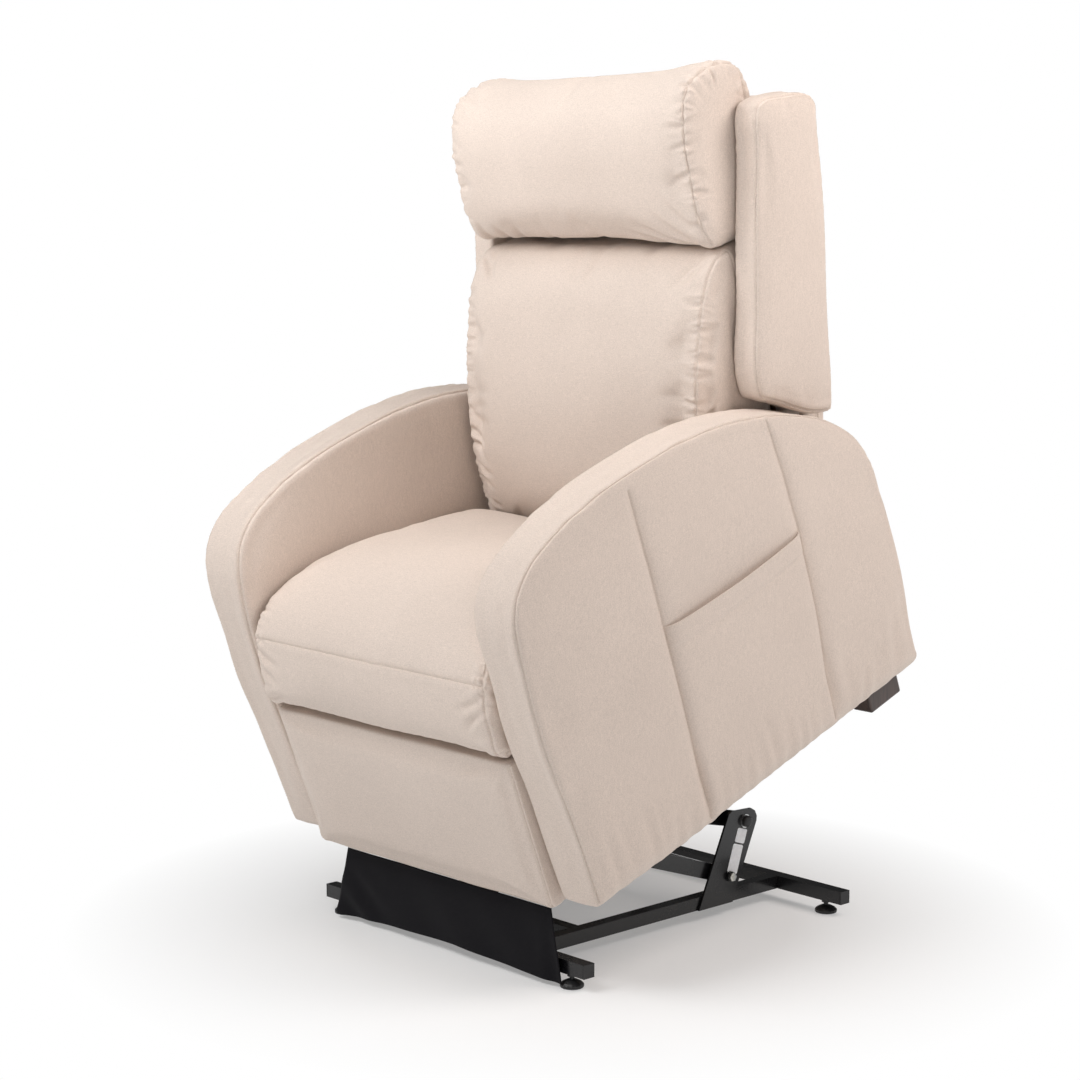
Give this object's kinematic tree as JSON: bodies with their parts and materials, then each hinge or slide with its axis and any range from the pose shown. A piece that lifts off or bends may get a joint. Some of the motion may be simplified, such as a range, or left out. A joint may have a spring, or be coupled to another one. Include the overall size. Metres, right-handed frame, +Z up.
{
  "type": "lift recliner chair",
  "caption": "Upholstered riser armchair with head cushion, wings and side pocket, raised and tilted forward on a steel lift base, with reclining back and swing-out footrest.",
  "frame": {"origin": "centre of the raised chair's outline at floor level", "axes": "+Z up, the front faces -Y, the sitter's left is +X"},
  "size_m": [0.7653, 0.9269, 1.4169],
  "materials": {
    "fabric": "fine woven oatmeal upholstery",
    "black_steel": "gloss black powder coat",
    "zinc": "bright zinc plate",
    "black_plastic": "moulded black",
    "grey_plastic": "moulded grey",
    "dark_wood": "dark brown lacquer",
    "plywood": "plain plywood",
    "skirt_cloth": "matt black non-woven cloth"
  },
  "bodies": {
    "root": {"base_front_tube": "black_steel", "base_rear_tube": "black_steel", "base_rail_left": "black_steel", "base_rail_right": "black_steel", "tube_cap_front_left": "black_plastic", "tube_cap_front_right": "black_plastic", "tube_cap_rear_left": "black_plastic", "tube_cap_rear_right": "black_plastic", "levelling_foot_front_left": "black_plastic", "levelling_foot_front_right": "black_plastic", "levelling_foot_rear_left": "black_plastic", "levelling_foot_rear_right": "black_plastic", "pivot_bracket_left": "black_steel", "pivot_bracket_right": "black_steel", "upper_pivot_bolt_left": "zinc", "upper_pivot_bolt_right": "zinc", "motor_cross_member": "black_steel", "front_skirt": "skirt_cloth"},
    "lift_links": {"lower_link_left": "black_steel", "lower_link_right": "black_steel", "lift_cross_tube": "black_steel", "torque_tube": "black_steel"},
    "upper_links": {"upper_link_left": "black_steel", "upper_link_right": "black_steel"},
    "lift_motor_body": {"lift_motor": "black_plastic"},
    "lift_rod_body": {"lift_rod": "zinc"},
    "seat": {"seat_side_plate_left": "black_steel", "seat_side_plate_right": "black_steel", "seat_front_rail": "black_steel", "seat_rear_rail": "black_steel", "seat_platform": "plywood", "control_box": "black_plastic", "seat_cushion": "fabric", "arm_cover_left": "fabric", "arm_cover_right": "fabric", "arm_frame_left": "plywood", "arm_frame_right": "plywood", "rear_foot_left": "dark_wood", "rear_foot_right": "dark_wood", "handset": "black_plastic"},
    "button_up_body": {"button_up": "grey_plastic"},
    "button_down_body": {"button_down": "grey_plastic"},
    "back": {"back_frame": "plywood", "back_shell": "fabric", "wing_left": "fabric", "wing_right": "fabric", "lower_back_cushion": "fabric", "head_cushion": "fabric"},
    "recline_motor_body": {"recline_motor": "black_plastic"},
    "recline_rod_body": {"recline_rod": "zinc"},
    "footrest_main": {"footrest_drive_tube": "black_steel", "footrest_main_link_left": "black_steel", "footrest_main_link_right": "black_steel"},
    "footrest_second": {"footrest_second_link_left": "black_steel", "footrest_second_link_right": "black_steel"},
    "footrest_brace": {"footrest_brace_link_left": "black_steel", "footrest_brace_link_right": "black_steel"},
    "footrest_panel": {"footrest_board": "plywood", "footrest_pad": "fabric"}
  },
  "joints": [
    {"name": "lift", "type": "hinge", "parent": "root", "child": "lift_links", "pos_m": [0, 0.2055, 0.069], "axis": [1, 0, 0], "range_deg": [0, 16.8], "deforming": ["front_skirt"]},
    {"name": "seat_tilt", "type": "hinge", "parent": "lift_links", "child": "seat", "pos_m": [0, -0.22803, 0.21591], "axis": [1, 0, 0], "range_deg": [-37.6, 0.05]},
    {"name": "upper_link_swing", "type": "hinge", "parent": "root", "child": "upper_links", "pos_m": [0, 0.2435, 0.159], "axis": [1, 0, 0], "range_deg": [-0.05, 19.3]},
    {"name": "lift_motor_swing", "type": "hinge", "parent": "root", "child": "lift_motor_body", "pos_m": [0, -0.1375, 0.062], "axis": [1, 0, 0], "range_deg": [-0.05, 2.6]},
    {"name": "lift_rod_slide", "type": "slide", "parent": "lift_motor_body", "child": "lift_rod_body", "axis": [0, 0.9517, 0.3071], "range_m": [-0.0315, 0.0001]},
    {"name": "recline", "type": "hinge", "parent": "seat", "child": "back", "pos_m": [0, 0.19175, 0.60298], "axis": [-1, 0, 0], "range_deg": [0, 35]},
    {"name": "recline_motor_swing", "type": "hinge", "parent": "seat", "child": "recline_motor_body", "pos_m": [0, -0.29528, 0.37832], "axis": [1, 0, 0], "range_deg": [-0.05, 1.3]},
    {"name": "recline_rod_slide", "type": "slide", "parent": "recline_motor_body", "child": "recline_rod_body", "axis": [0, 0.9549, 0.297], "range_m": [-0.041, 0.0001]},
    {"name": "footrest", "type": "hinge", "parent": "seat", "child": "footrest_main", "pos_m": [0, -0.28179, 0.41335], "axis": [-1, 0, 0], "range_deg": [0, 120.7]},
    {"name": "footrest_elbow", "type": "hinge", "parent": "footrest_main", "child": "footrest_second", "pos_m": [0, -0.13789, 0.34372], "axis": [1, 0, 0], "range_deg": [-0.05, 106.6]},
    {"name": "footrest_tip", "type": "hinge", "parent": "footrest_second", "child": "footrest_panel", "pos_m": [0, -0.28614, 0.28343], "axis": [-1, 0, 0], "range_deg": [-0.05, 75.9]},
    {"name": "footrest_brace_swing", "type": "hinge", "parent": "seat", "child": "footrest_brace", "pos_m": [0, -0.23782, 0.42997], "axis": [-1, 0, 0], "range_deg": [-0.05, 117.9]},
    {"name": "button_up_press", "type": "slide", "parent": "seat", "child": "button_up_body", "axis": [1, 0, 0], "range_m": [0, 0.0012], "stiffness_N_per_m": 900},
    {"name": "button_down_press", "type": "slide", "parent": "seat", "child": "button_down_body", "axis": [1, 0, 0], "range_m": [0, 0.0012], "stiffness_N_per_m": 900}
  ],
  "couplings": [
    {"joint": "seat_tilt", "follows": "lift", "ratio": -2.2318},
    {"joint": "upper_link_swing", "follows": "lift", "ratio": 1.1421},
    {"joint": "lift_motor_swing", "follows": "lift", "ratio": 0.1448},
    {"joint": "lift_rod_slide", "follows": "lift", "m_per_rad": -0.10608},
    {"joint": "recline_motor_swing", "follows": "recline", "ratio": 0.03385},
    {"joint": "recline_rod_slide", "follows": "recline", "m_per_rad": -0.06667},
    {"joint": "footrest_elbow", "follows": "footrest", "ratio": 0.8824},
    {"joint": "footrest_tip", "follows": "footrest", "ratio": 0.62804},
    {"joint": "footrest_brace_swing", "follows": "footrest", "ratio": 0.97593}
  ]
}
